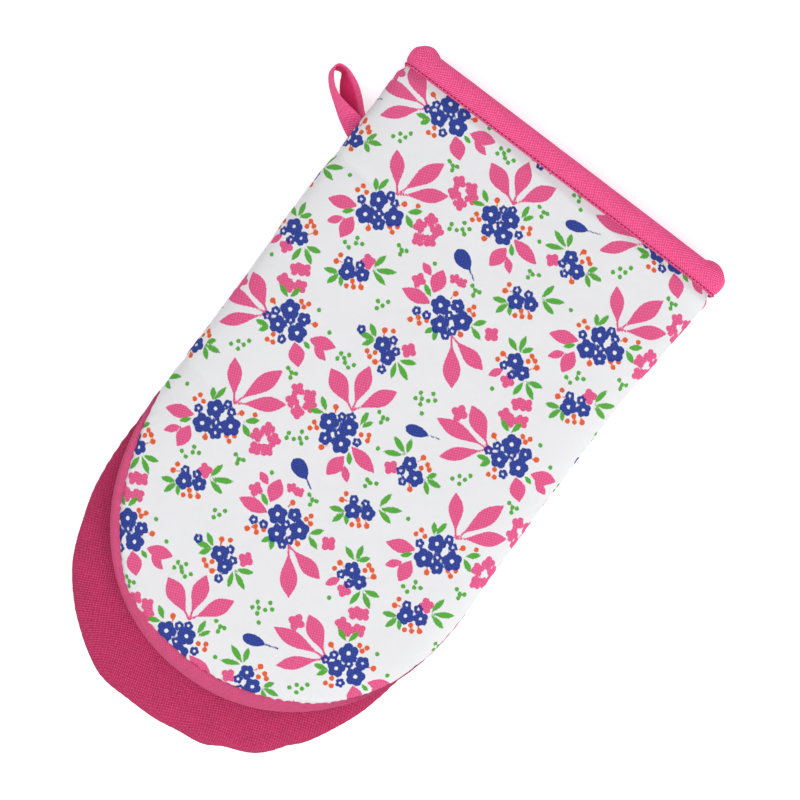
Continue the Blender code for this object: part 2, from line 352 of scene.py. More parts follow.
mitt = {
    "length": 331.0, "cuffY": 164.0, "foldY": -39.0, "topZ": 33.6, "foldZ": 17.1, "foldHalf": 88.0,
    "cuffHalf": 90.0, "cuffShift": 3.5, "flareLength": 90.0, "thumbHalf": 86.5, "thumbShift": -3.5,
    "leanLength": 65.0, "crown": 5.5, "press": 2.5, "nip": 1.8, "pressStart": 147.0, "pressLength": 6.0,
    "bindingLow": 153.0, "seamGap": 0.3, "slant": 0.018, "slantStart": 2.0, "slantFrom": -76.0, "tuckEases": 30.0,
    "slantLength": 70.0, "leastRise": 6.0, "sheetRise": 16.5, "soleLift": 1.0, "skinDepth": 1.0,
}
fingerEnd = {"roundY": -39.0, "reach": 99.5, "power": 2.1, "seamZ": 24.1, "eases": 41.0}
thumbEnd = {"roundY": -64.5, "reach": 101.0, "power": 2.2, "seamZ": 7.4, "eases": 41.0}


def smooth(t):
    # Smooth step 3t^2 - 2t^3, from 0 to 1.
    t = np.clip(t, 0.0, 1.0)
    return t * t * (3 - 2 * t)


def hill(x, width):
    # Bell curve e^-(x/w)^2.
    return np.exp(-((x / width) ** 2))


def flare(y):
    # Smooth step up the sleeve: 0 at the fold, 1 at the binding.
    return smooth(1 - np.maximum(0.0, mitt["bindingLow"] - y) / mitt["flareLength"])


def lean(y):
    # Smooth step past the fold: 0 on the sleeve, 1 along the thumb pocket.
    return smooth((mitt["foldY"] + mitt["leanLength"] / 3 - y) / mitt["leanLength"])


def pinch(y):
    # 1 under the cuff binding, 0 on the free sleeve.
    return smooth((y - mitt["pressStart"]) / mitt["pressLength"])


def halfWidth(y, leans):
    # Fold's half width, blended to the cuff's by flare and to the thumb's by lean, less the nip at the binding.
    wide = mitt["foldHalf"] + (mitt["cuffHalf"] - mitt["foldHalf"]) * flare(y)
    if leans:
        wide = wide + (mitt["thumbHalf"] - wide) * lean(y)
    return wide - mitt["nip"] * pinch(y)


def centreX(y, leans):
    # Middle line: the cuff's shift times flare plus the thumb's shift times lean.
    return mitt["cuffShift"] * flare(y) + (mitt["thumbShift"] * lean(y) if leans else 0.0)


def seamZ(y, end):
    # The side seam runs level along the sleeve, then leaves for its own pocket's height past the fold.
    return mitt["foldZ"] + (end["seamZ"] - mitt["foldZ"]) * smooth((mitt["foldY"] - y) / end["eases"])


wave = {"count": 5, "turn": 2.4, "shorter": 0.37, "bend": 1.1, "bendRate": 1.7, "weaker": 0.4, "highest": 2.6}


def waves(x, y, size, seed):
    # Sum of five sines in directions a golden angle apart, each a little shorter than the last. About -1 to 1.
    total = 0.0
    for k in range(wave["count"]):
        angle = wave["turn"] * k + seed
        run = (x * math.cos(angle) + y * math.sin(angle)) / size * (1 + wave["shorter"] * k)
        bent = 2 * math.pi * run + seed * (k + 1) + wave["bend"] * np.sin(run * wave["bendRate"] + k)
        total = total + np.sin(bent) / (1 + wave["weaker"] * k)
    return total / wave["highest"]


def lengthAlong(points):
    # Length from the first point to each along a line of points.
    return np.concatenate([[0.0], np.cumsum(np.linalg.norm(np.diff(points, axis=0), axis=1))])


def profile(rho, crown):
    # Cross-section of a pad: (1 - rho^c)^(1/c), 1 in the middle and 0 at the seam.
    return np.maximum(0.0, 1 - np.clip(rho, 0, 1) ** crown) ** (1 / crown)


def arcTable(half, rise, crown):
    # Points of the cross-section with the length of the curve from the middle out to each.
    turn = np.linspace(math.pi / 2, 0, 400)
    rho, up = np.cos(turn) ** (2 / crown), np.sin(turn) ** (2 / crown)
    length = np.concatenate([[0.0], np.cumsum(np.hypot(np.diff(rho) * half, np.diff(up) * rise))])
    return rho, length


# The shape of the band: share of the outline, angle and spread in degrees, at the tip and at the left.
bandRoll = {
    "tip": 0.062, "tipAngle": 84.0, "tipSpread": 38.0, "left": 0.038, "leftAngle": 148.0, "leftSpread": 24.0,
    "least": 0.0006, "starts": 12,
}
sheetRho, sheetLength = arcTable(mitt["foldHalf"], mitt["sheetRise"], mitt["crown"])


def bandEdge(turn):
    # Where the print ends on the finger pocket, as a share of its outline, by the angle round the tip.
    degrees = np.degrees(turn)
    tip = bandRoll["tip"] * np.exp(-((np.abs(degrees - bandRoll["tipAngle"]) / bandRoll["tipSpread"]) ** 4))
    left = bandRoll["left"] * np.exp(-(((degrees - bandRoll["leftAngle"]) / bandRoll["leftSpread"]) ** 4))
    return 1 - np.maximum(bandRoll["least"], tip + left * (1 - tip / bandRoll["tip"]))


def endPlan(a, b, end, edge):
    # Square to disc: X = a sqrt(1 - b^2/2), Y = b sqrt(1 - a^2/2), then out to the superellipse.
    x, y = a * np.sqrt(1 - b * b / 2), b * np.sqrt(1 - a * a / 2)
    r = np.hypot(x, y)
    turn = np.arctan2(y, x)
    k = (np.abs(np.cos(turn)) ** end["power"] + np.abs(np.sin(turn)) ** end["power"]) ** (-1 / end["power"])
    cut = 1 - (1 - edge(turn)) * r * r * np.clip(b * bandRoll["starts"], 0, 1) if edge else np.ones_like(r)
    k = (1 + (k - 1) * r * r) * cut
    return x * k, y * k, r * cut


def padGrid(pad, depth, rowStep, columnStep, multiple=1):
    # A pad's surface at a depth below its skin, as points[rows, columns], and where each point is on the flat cloth.
    end = pad["end"]
    skinZ = mitt["topZ"] if pad["side"] > 0 else 0.0
    high = abs(skinZ - mitt["foldZ"]) if pad["outside"] else mitt["leastRise"]
    rho, length = arcTable(mitt["foldHalf"], high, pad["crown"])
    endRho, endLength = arcTable(end["reach"], max(mitt["leastRise"], abs(pad["farZ"] - end["seamZ"])), pad["crown"])

    def whole(total, step):
        return max(multiple, int(round(total / step / multiple)) * multiple)

    half = whole(length[-1], columnStep)
    share = np.linspace(-1, 1, 2 * half + 1)
    a = np.sign(share) * np.interp(np.abs(share), length / length[-1], rho)
    straight = whole(pad["startY"] - end["roundY"], rowStep) if pad["startY"] > end["roundY"] else 0
    rounded = whole(endLength[-1], rowStep)
    ys = np.linspace(pad["startY"], end["roundY"], straight + 1)
    bs = np.interp(np.linspace(0, 1, rounded + 1), endLength / endLength[-1], endRho)
    rowY = np.concatenate([ys, np.full(rounded, end["roundY"])])
    rowB = np.concatenate([np.zeros(straight + 1), bs[1:]])
    across, level = np.meshgrid(a, rowY)
    endShare = np.meshgrid(a, rowB)[1]
    planX, planY, planRho = endPlan(across, endShare, end, pad["edge"])
    return placePad(pad, depth, planX, level, planY, planRho)


def padHeight(pad, y, rho, depth):
    # Height: seam height plus the rise from seam to skin times the profile, less the layer's depth.
    side, end = pad["side"], pad["end"]
    seam = seamZ(y, end)
    rise = np.abs(pad["farZ"] - seam) * np.where((pad["farZ"] - seam) * side > 0, 1, -1) - mitt["press"] * pinch(y)
    if pad["farZ"] == 0.0:
        up = np.minimum((rise + mitt["soleLift"] - depth) * profile(rho, pad["crown"]), rise - depth)
    else:
        # Inside a grip, the layers stay a little below the skin even at their own edges.
        keep = pad["keep"] if depth > mitt["skinDepth"] else 0.0
        arch = profile(rho, pad["crown"])
        up = rise * arch - depth * (keep + (1 - keep) * arch)
    return seam + side * (up + mitt["seamGap"] / 2)


# Angle in degrees, share of the reach, width in degrees.
rimDents = [(46, -0.010, 3.0), (55, 0.007, 5.0), (65, -0.012, 4.0), (78, -0.010, 8.0), (128, 0.005, 9.0)]


def dented(planX, planY, rho):
    # Small flats and swellings round the thumb pocket's rim, by the angle round its tip.
    degrees = np.degrees(np.arctan2(planY, planX))
    swell = sum(size * hill(degrees - at, wide) for at, size, wide in rimDents)
    return 1 + swell * rho**6 * (planY > 0)


def placePad(pad, depth, planX, startY, planY, rho):
    # Place: x = middle + half width times planX, y = start less reach times planY, z = padHeight.
    end, leans = pad["end"], pad["leans"]
    if leans:
        rim = dented(planX, planY, rho)
        planX, planY = planX * rim, planY * rim
    y = startY - (end["reach"] - depth) * planY
    if pad["tuck"]:
        # The palm is sewn a little way in under the thumb pocket's rim.
        share = 1 - pad["tuck"] * smooth((mitt["foldY"] - y) / mitt["tuckEases"])
        planX, planY = planX * share, planY * share
        y = startY - (end["reach"] - depth) * planY
    inset = pad["keep"] * depth * (1 + 2 * (1 - smooth((mitt["foldY"] - y) / end["eases"])))
    x = centreX(y, leans) + (halfWidth(y, leans) - depth - inset) * planX
    z = padHeight(pad, y, rho, depth)
    # The cloth's own measure runs along its section: distance from the middle times arc length over straight length.
    stretch = np.interp(rho, sheetRho, sheetLength) / (mitt["foldHalf"] * np.maximum(rho, 1e-6))
    stretch = np.where(rho < 1e-3, 1.0, stretch)
    u = centreX(y, leans) + (x - centreX(y, leans)) * stretch
    v = startY - (startY - y) * stretch
    return {"points": np.stack([x, y, z], -1), "u": u, "v": v, "rho": rho, "depth": depth}


def normals(points, side):
    # Unit normals from the differences along rows and columns, on the pad's outer side.
    n = np.cross(np.gradient(points, axis=1), np.gradient(points, axis=0))
    n = n / np.maximum(np.linalg.norm(n, axis=-1, keepdims=True), 1e-9)
    return -n * side


def slanted(points):
    # The cuff is cut a little askew: its edge falls back towards +X.
    x, y = points[..., 0], points[..., 1]
    fall = mitt["slantStart"] + mitt["slant"] * (x - mitt["slantFrom"])
    share = smooth(1 - (mitt["cuffY"] - y) / mitt["slantLength"])
    return np.stack([x, y - fall * share, points[..., 2]], -1)


sewn = {
    "grooveDeep": 1.3, "grooveWide": 1.5, "pucker": 0.2, "puckerEvery": 6.4, "puckerReach": 5.0, "slope": 1.3,
    "drift": 2.2, "driftLength": 19.0, "patch": 60,
}
uneven = {"broad": 0.55, "broadSize": 95.0, "fine": 0.16, "fineSize": 26.0, "bound": 0.8, "sole": 0.25}
# Where the thumb pocket's tip is pushed out: middle, reach and distance.
slump = {
    "from": -100.0, "eases": 50.0, "left": (-34, 15, 3.2), "right": (24, 10, 1.2), "side": (-124, 16, 1.8),
    "sideFrom": -40, "sideEases": 30,
}
creaseEnd = {"before": 0.2, "rise": 3, "after": 1.2, "fall": 2}
# Creases in the sleeve: start x, y, end x, y, depth and width.
creases = [
    (-92, 99, -58, 96, 0.9, 2.6),
    (-92, -20, -60, -24, 0.7, 3.0),
    (-90, 48, -30, 44, 0.35, 7.0),
    (60, 26, 92, 22, 0.4, 5.0),
    (56, 118, 96, 121, 0.35, 5.0),
]


def creased(x, y):
    # Each crease sinks by a hill of the distance from its line, and fades in and out past its two ends.
    total = np.zeros_like(x)
    for x0, y0, x1, y1, deep, wide in creases:
        along = ((x - x0) * (x1 - x0) + (y - y0) * (y1 - y0)) / ((x1 - x0) ** 2 + (y1 - y0) ** 2)
        off = np.hypot(x - x0 - along * (x1 - x0), y - y0 - along * (y1 - y0))
        begins = smooth((along + creaseEnd["before"]) * creaseEnd["rise"])
        total -= deep * hill(off, wide) * begins * smooth((creaseEnd["after"] - along) * creaseEnd["fall"])
    return total


def relief(grid, pad, sew):
    # Broad and fine unevenness over the pad. Where it is sewn, a groove and puckers run along its edge.
    points = grid["points"]
    x, y = points[..., 0], points[..., 1]
    seed = pad["seed"]
    sole = pad["farZ"] == 0.0
    total = uneven["broad"] * waves(x, y, uneven["broadSize"], seed)
    total += uneven["fine"] * waves(x, y, uneven["fineSize"], seed + 3)
    if pad["farZ"] == mitt["topZ"]:
        total += creased(x, y)
    total *= 1 - uneven["bound"] * pinch(y)
    if sole:
        total *= uneven["sole"]
    if sew:
        edge = grid.get("edgeRho", 1.0)
        away = np.interp(edge, sheetRho, sheetLength) - np.interp(grid["rho"], sheetRho, sheetLength)
        run = y + sewn["slope"] * np.abs(x)
        drift = sewn["drift"] * np.sin(run / sewn["driftLength"])
        ripple = np.sin(2 * math.pi * run / sewn["puckerEvery"] + drift + seed)
        patchy = 1 + waves(x, y, sewn["patch"], seed)
        total += sewn["pucker"] * patchy * ripple * np.exp(-away / sewn["puckerReach"])
        total -= pad["groove"] * sewn["grooveDeep"] * hill(away, sewn["grooveWide"])
    points = points + normals(points, pad["side"]) * total[..., None]
    if pad["leans"]:
        # The thumb's tip is not quite round: two hills in x push it out at the end, and one in y at the side.
        tipward = smooth((slump["from"] - y) / slump["eases"])
        endPush = sum(far * hill(x - at, wide) for at, wide, far in (slump["left"], slump["right"]))
        at, wide, far = slump["side"]
        points[..., 1] -= tipward * endPush
        points[..., 0] -= tipward * far * hill(y - at, wide) * smooth((slump["sideFrom"] - x) / slump["sideEases"])
    if sole:
        points[..., 2] = np.maximum(points[..., 2], grid["depth"])
    return points


def padSheet(name, pad, depths, steps, material, innerEvery=1, printed=None, sew=True):
    # A closed cloth: its outer skin, a coarser inner skin and the edge between them.
    grids = []
    for depth, every in ((depths[0], 1), (depths[1], innerEvery)):
        grid = padGrid(pad, depth, steps, steps, innerEvery)
        if pad["edge"]:
            grid["edgeRho"] = edgeRhoOf(pad, grid["points"])
        points = slanted(relief(grid, pad, sew))
        grids.append((points[::every, ::every], grid["u"][::every, ::every], grid["v"][::every, ::every]))
    (outer, u, v), (inner, innerU, innerV) = grids
    up = pad["side"] > 0
    rows, columns = outer.shape[:2]
    innerRows, innerColumns = inner.shape[:2]
    faceSets = closeShell(
        rows * columns,
        gridFaces(rows, columns, up),
        gridLoop(rows, columns, up),
        gridFaces(innerRows, innerColumns, up),
        gridLoop(innerRows, innerColumns, up),
        innerEvery,
    )
    points = np.concatenate([outer.reshape(-1, 3), inner.reshape(-1, 3)])
    us, vs = [np.concatenate([one.ravel(), two.ravel()]) for one, two in ((u, innerU), (v, innerV))]
    spots = np.column_stack([us, vs])
    values = printed(spots, rows * columns) if printed else None
    return makeMesh(name, points, faceSets, material, spots, values)


def edgeRhoOf(pad, points):
    # The edge's share of the outline, for each point's own angle round the tip.
    end = pad["end"]
    y = np.minimum(0.0, points[..., 1] - end["roundY"]) / end["reach"]
    x = points[..., 0] / mitt["foldHalf"]
    turn = np.arctan2(-y, x)
    return np.where(y < 0, pad["edge"](turn), 1.0)


backPad = {
    "side": 1, "farZ": 33.6, "startY": 164.0, "end": fingerEnd, "leans": False, "outside": True,
    "edge": bandEdge, "crown": 5.5, "seed": 1.0, "tuck": 0.0, "keep": 0.0, "groove": 1.0,
}
palmPad = {
    "side": -1, "farZ": 0.0, "startY": 164.0, "end": thumbEnd, "leans": True, "outside": True,
    "edge": None, "crown": 4.0, "seed": 2.0, "tuck": 0.013, "keep": 0.0, "groove": 1.0,
}
thumbGripPad = {
    "side": 1, "farZ": 16.7, "startY": -39.0, "end": thumbEnd, "leans": True, "outside": False,
    "edge": None, "crown": 2.3, "seed": 4.3, "tuck": 0.0, "keep": 0.3, "groove": 0.4,
}
fingerGripPad = {
    "side": -1, "farZ": 17.5, "startY": -39.0, "end": fingerEnd, "leans": False, "outside": False,
    "edge": None, "crown": 3.5, "seed": 5.1, "tuck": 0.0, "keep": 0.3, "groove": 1.0,
}
backInner = dict(backPad, edge=None)


# The pattern repeats by these two steps across the cloth. Places are millimetres across and down from the cuff.
repeatA = np.array([119.5, -10.0])
repeatB = np.array([-3.75, 122.5])
inkReach = 3.0
# Shares of a motif's radius: a petal's radius, how far out it is set, and the round core.
petal = {"size": 0.46, "out": 0.55, "core": 0.5}
leafSlope = 0.9


class Ink:
    # Distance to the nearest painted edge of each colour, in millimetres: below zero inside.
    def __init__(self, x, t):
        self.places = np.stack([x, t], -1)
        self.found = {name: np.full(len(x), inkReach) for name in printInk}

    def near(self, centre, radius):
        # Points within reach of a motif, measured from its closest repeat.
        d = self.places - np.array(centre)
        solve = np.linalg.inv(np.stack([repeatA, repeatB], -1))
        steps = np.round(d @ solve.T)
        d = d - steps[:, :1] * repeatA - steps[:, 1:] * repeatB
        picked = np.nonzero(np.einsum("ij,ij->i", d, d) < (radius + inkReach) ** 2)[0]
        return picked, d[picked]

    def paint(self, name, picked, distance):
        self.found[name][picked] = np.minimum(self.found[name][picked], distance)

    def petals(self, name, centre, radius, count, hole=0.0, turn=0.0):
        # Round petals: a circle set out in each sector, with a round hole in the middle.
        picked, d = self.near(centre, radius)
        r = np.hypot(d[:, 0], d[:, 1])
        sector = 2 * math.pi / count
        off = (np.arctan2(d[:, 1], d[:, 0]) + turn) % sector - sector / 2
        outer = np.hypot(r * np.cos(off) - petal["out"] * radius, r * np.sin(off)) - petal["size"] * radius
        outer = np.minimum(outer, r - petal["core"] * radius)
        self.paint(name, picked, np.maximum(outer, hole * radius - r) if hole else outer)

    def spot(self, name, centre, radius):
        picked, d = self.near(centre, radius)
        self.paint(name, picked, np.hypot(d[:, 0], d[:, 1]) - radius)

    def leaf(self, name, base, tip, width, peak=0.55, sharp=1.0):
        # Spindle from base to tip: half width w/2 sin(pi s^q), with its widest place at the peak.
        base, tip = np.array(base, float), np.array(tip, float)
        length = np.linalg.norm(tip - base)
        picked, d = self.near((base + tip) / 2, length / 2 + width / 2)
        way = (tip - base) / length
        s = (d @ way) / length + 0.5
        off = np.abs(d @ np.array([-way[1], way[0]]))
        q = math.log(0.5) / math.log(peak)
        half = width / 2 * np.sin(math.pi * np.clip(s, 0, 1) ** q) ** sharp
        past = np.maximum(0.0, np.abs(s - 0.5) - 0.5) * length
        self.paint(name, picked, np.where(past > 0, np.hypot(past, off), (off - half) * leafSlope))

    def line(self, name, start, stop, thick):
        start, stop = np.array(start, float), np.array(stop, float)
        length = np.linalg.norm(stop - start)
        picked, d = self.near((start + stop) / 2, length / 2 + thick)
        way = (stop - start) / length
        along = d @ way
        off = d @ np.array([-way[1], way[0]])
        self.paint(name, picked, np.hypot(np.maximum(0, np.abs(along) - length / 2), off) - thick / 2)


rosettes = [
    (-12, 47, 4.3), (-3, 43.5, 4.0), (-1.5, 52, 4.2), (-9, 54, 3.0), (-58, 73, 4.0), (-47.5, 75.5, 4.3),
    (-59, 82, 4.2), (-51.5, 82, 3.0), (-6, 95.5, 4.2), (0.5, 91, 3.0), (6.5, 95.5, 4.3), (-1, 103, 4.0),
    (-61, 138, 4.3), (-53, 138, 3.0), (-52, 145, 4.2), (-61.5, 147, 3.8),
    (29.5, 40.5, 3.3), (35.5, 44.5, 3.7), (27.5, 70.5, 3.2), (21, 73.5, 3.7), (-43.5, 105.5, 3.2),
    (-50, 108.5, 3.7), (37, 96, 3.7), (43, 98.5, 3.3), (-17, 126, 3.7), (-11.5, 129.5, 3.3),
]
smallRosettes = [
    (-5.5, 48.5), (-5, 39), (-8.5, 41.5), (4, 47), (-54.5, 68), (-51, 70), (-54, 78), (-64.5, 77.5), (0, 97),
    (5.5, 102), (4, 105.5), (-8.5, 103), (-13.5, 104), (-66, 142.5), (-68, 146.5), (-58, 142), (-56, 151.5),
    (28, 45.5), (31.5, 49), (18.5, 69), (24, 67.5), (-52.5, 104), (-47, 102.5), (34, 100.5), (39.5, 102),
    (-14, 121.5), (-10, 125), (-29, 126), (-10.5, 135.5),
]
berries = [
    (-17.5, 51), (-15, 52.5), (-17.5, 54.5), (6.5, 41), (3.5, 43), (7.5, 43.5), (-41.5, 64.5), (-67.5, 72),
    (-64.5, 73.5), (-68.5, 75), (-43.5, 78), (-46.5, 80), (-44, 81.5), (7, 87), (6, 89.5), (9, 90), (-7, 105),
    (-11, 106), (-9, 108), (-59, 132), (-55.5, 131), (-56.5, 133.5), (-60.5, 152), (-61.5, 155.5), (-58.5, 155),
    (36.5, 36), (38.5, 37.5), (35, 39), (14, 69), (25.5, 75.5), (27.5, 77.5), (24.5, 79), (-57, 104),
    (-45.5, 110.5), (-43.5, 112.5), (-46.5, 114), (42, 89.5), (44.5, 90.5), (42, 92.5), (30, 100), (-16.5, 118),
    (-17.5, 131), (-21, 132.5), (-18.5, 134),
]
# Orange buds on a stalk: bud, then the stalk's other end.
buds = [
    (-13.5, 39.5, -12, 41.8), (-8, 58.5, -6, 56), (-47, 67.5, -49, 70), (-54, 86.5, -55.5, 84.2),
    (-3.5, 87, -4, 90), (9.5, 101, 7.3, 99.8), (-13.5, 109, -12, 107), (-70, 139.5, -67.5, 140.5),
    (-47.5, 137, -50, 138), (33, 34.5, 32, 37.5), (36.5, 50, 34, 47.5), (14, 72.5, 17, 71), (30.5, 75.5, 28, 73.5),
    (-57, 107.5, -54, 106), (-40.5, 110.5, -43, 108.5), (47, 92.5, 44.5, 95.5), (30.5, 96.5, 33.5, 97),
    (-20, 120, -18.5, 123), (-15, 134.5, -13, 132),
]
# Green leaves: base, tip and width.
greenLeaves = [
    (-15.5, 44, -21.5, 39.5, 3.2), (-15.5, 44.5, -22.5, 47.5, 3.0), (0.5, 40.5, 0, 32.5, 3.0), (1, 41, 4.5, 35, 2.6),
    (3, 52, 7.2, 57.2, 3.0), (-61, 71, -60, 62.5, 3.0), (-61, 71, -64.8, 65.7, 3.0), (-44.5, 70.5, -38.5, 65.5, 3.4),
    (-44.5, 70.8, -37.8, 74.3, 3.4), (-63.5, 82.5, -68.3, 87.3, 2.8), (10.5, 95, 15.5, 89, 3.2),
    (10.5, 95, 18, 97.5, 3.2), (-11, 95.5, -17.5, 92, 3.0), (-1.5, 104.5, -4.5, 110, 3.0),
    (-1.5, 104.5, 1, 110.5, 3.0),
    (-64.5, 134.5, -71.5, 131.5, 3.0), (-64.5, 134.5, -63, 127.5, 3.0), (-48, 146, -43, 147.5, 2.6),
    (-63.5, 149.5, -71, 151.5, 3.0), (-63.5, 149.5, -67, 154.5, 2.8), (26, 38.5, 16.5, 34.5, 3.4),
    (26, 38.5, 23.5, 31, 3.2), (26, 38.5, 16.5, 43, 3.2), (39, 42, 42.5, 37, 3.0), (39, 42, 47.5, 41, 3.2),
    (39, 42, 44.5, 47, 3.0), (29.5, 66, 31, 57, 3.2), (29.5, 66, 39.5, 60.5, 3.4), (29.5, 66, 38.5, 68, 3.2),
    (19, 75.5, 11.5, 78.5, 3.2), (19, 75.5, 16.5, 83, 3.2), (19, 75.5, 22.5, 80.5, 2.6), (-41.5, 101, -40, 92, 3.2),
    (-41.5, 101, -31.5, 95.5, 3.4), (-41.5, 101, -32.5, 103, 3.2), (-52, 110.5, -59.5, 113.5, 3.2),
    (-52, 110.5, -54.5, 118, 3.2), (-52, 110.5, -48.5, 115.5, 2.6), (36, 92, 28.5, 89, 3.2), (36, 92, 34.5, 84, 3.2),
    (36, 92, 40.5, 86.5, 3.0), (46, 100.5, 54.5, 98.5, 3.2), (46, 100.5, 54, 105.5, 3.2), (46, 100.5, 45.5, 109, 3.2),
    (-20.5, 125.5, -27, 121.5, 3.2), (-20.5, 125.5, -29, 128, 3.2), (-20.5, 125.5, -24.5, 131.5, 3.0),
    (-7.5, 128, 1, 124, 3.2), (-7.5, 128, 2, 132.5, 3.2), (-7.5, 128, -4.5, 136, 3.0),
]
# Pink leaves growing from the clusters: base, tip and width.
pinkLeaves = [
    (3, 50, 18, 53.5, 6.0), (3, 55.5, 1.5, 67, 6.5), (5.5, 59, 11, 64.5, 3.6), (-64, 81, -77, 86, 6.0),
    (-63, 86, -62, 97, 6.5), (-66, 89, -71.5, 95, 3.6), (-10, 97.5, -24.5, 99.5, 6.0), (-12, 93, -14.5, 82, 7.0),
    (-17.5, 87, -24, 84.3, 3.6), (-46, 144, -34, 140, 6.0), (-42, 145.5, -34, 147.5, 3.6),
    (-50.5, 149, -42.5, 157, 7.0), (35, 102, 31, 108.5, 3.6),
]
# Fans of three long leaves on thin stems: the foot, then each leaf's tip and width.
fans = [
    (-6.5, 36.5, ((-25.5, 26.6, 8.2), (-12, 15.5, 7.2), (5, 17.5, 7.2))),
    (-52.5, 66, ((-64.5, 49, 6.4), (-43.5, 41, 7.4), (-33, 52.5, 6.6))),
    (6.5, 104, ((27, 108, 6.6), (20.5, 123, 7.6))),
    (51.5, 136, ((33.5, 124.5, 7.6), (24, 138.5, 6.6), (35, 152, 5.8))),
]
blossoms = [
    (21, 92.5, 3.7), (-21, 92, 3.5), (30.5, 130.5, 4.0), (23.5, 47, 3.5), (-45, 99, 3.7), (39.5, 105.5, 3.5),
    (-5.5, 121, 3.7), (-8, 81.8, 2.6), (-4, 81.3, 2.6),
]
# Sprays of small pink flowers: centre and turn.
sprays = [(-28, 46.5, 0.0), (-31, 71.5, 0.6), (52, 115, 1.4)]
seedLeaves = [(18.0, 28, 28.5, 25, 34.5, 23, 5.4), (-15.0, 70.3, -5.0, 74.2, -0.5, 77, 7.2)]
dots = [
    (-64, 38.5), (-68, 41.5), (-65, 41.5), (-70, 44.5), (-66, 44.5), (-42, 38), (-39.5, 38.8), (-37.5, 38),
    (-38.5, 41), (-19.5, 58), (-16, 59), (-18.5, 61), (-24, 62), (-20.5, 63), (-16.5, 62.5), (-23.5, 64.5),
    (-19.5, 81.5), (-38, 84.5), (-35.5, 85.5), (-33.5, 84.5), (-35, 87.5), (-55.5, 93), (-52, 94), (-54.5, 95.5),
    (-59, 98), (-56, 99), (4, 29.5), (7, 30.5), (9, 30), (7.5, 33), (13.5, 43.5), (18, 58), (20, 58.5), (22.5, 57),
    (19, 61), (44, 61.5), (0.5, 79.5), (3, 80.5), (5, 80), (3.5, 83), (-26.5, 108.5), (-30.5, 111), (-27.5, 111.5),
    (-29, 114), (36, 112.5), (-50, 130.5), (-40, 136), (-30, 140.5), (-26.5, 139), (-27.5, 141.5), (-30, 143.5),
    (-26, 143), (-22, 141.5), (-23.5, 144), (15.5, 130.5), (10.5, 133.5), (18, 132.5), (12.5, 135.5), (15.5, 134.5),
    (10, 137), (13.5, 138), (16.5, 141),
]


# Where the printed cloth was pulled while sewn: middle, reach and pull, each (x, distance from the cuff).
pulls = [((56, 20), (20, 14), (0.8, 2.5)), ((-84, 53), (9, 10), (-1.0, -3.0)), ((-87, 18), (6, 6), (2.2, 0.0))]


def pulled(x, t):
    # Each pull adds its offset times a hill in x times a hill in t.
    for (atX, atT), (wide, high), (byX, byT) in pulls:
        share = hill(x - atX, wide) * hill(t - atT, high)
        x, t = x + byX * share, t + byT * share
    return x, t


# Shares of a leaf's length where it starts and ends, its width against the listed one, and its widest place.
fanLeaf = {"foot": 0.1, "tip": 1.04, "wide": 1.08, "peak": 0.6, "sharp": 1.15, "stem": 0.36, "stemThick": 1.0}
pinkLeaf = {"tip": 1.06, "wide": 1.08, "peak": 0.5}
greenLeaf = {"foot": 0.07, "tip": 1.07, "wide": 0.86, "peak": 0.55}
seedLeaf = {"peak": 0.42, "sharp": 0.55, "stemThick": 0.8}
spray = {"count": 5, "turn": 1.26, "sway": 0.25, "near": 4.4, "far": 5.6, "radius": 3.4, "spin": 1.3}
dotRadius, berryRadius, budRadius, stalkThick = 1.1, 1.25, 1.4, 0.75
rosette = {"wide": 1.12, "hole": 0.21, "smallRadius": 2.3, "smallHole": 0.3, "petals": 5}
blossom = {"petals": 4, "turn": 0.7}
palmCut = {"x": 31.0, "y": 48.0}


def between(foot, tip, share):
    return foot[0] + share * (tip[0] - foot[0]), foot[1] + share * (tip[1] - foot[1])


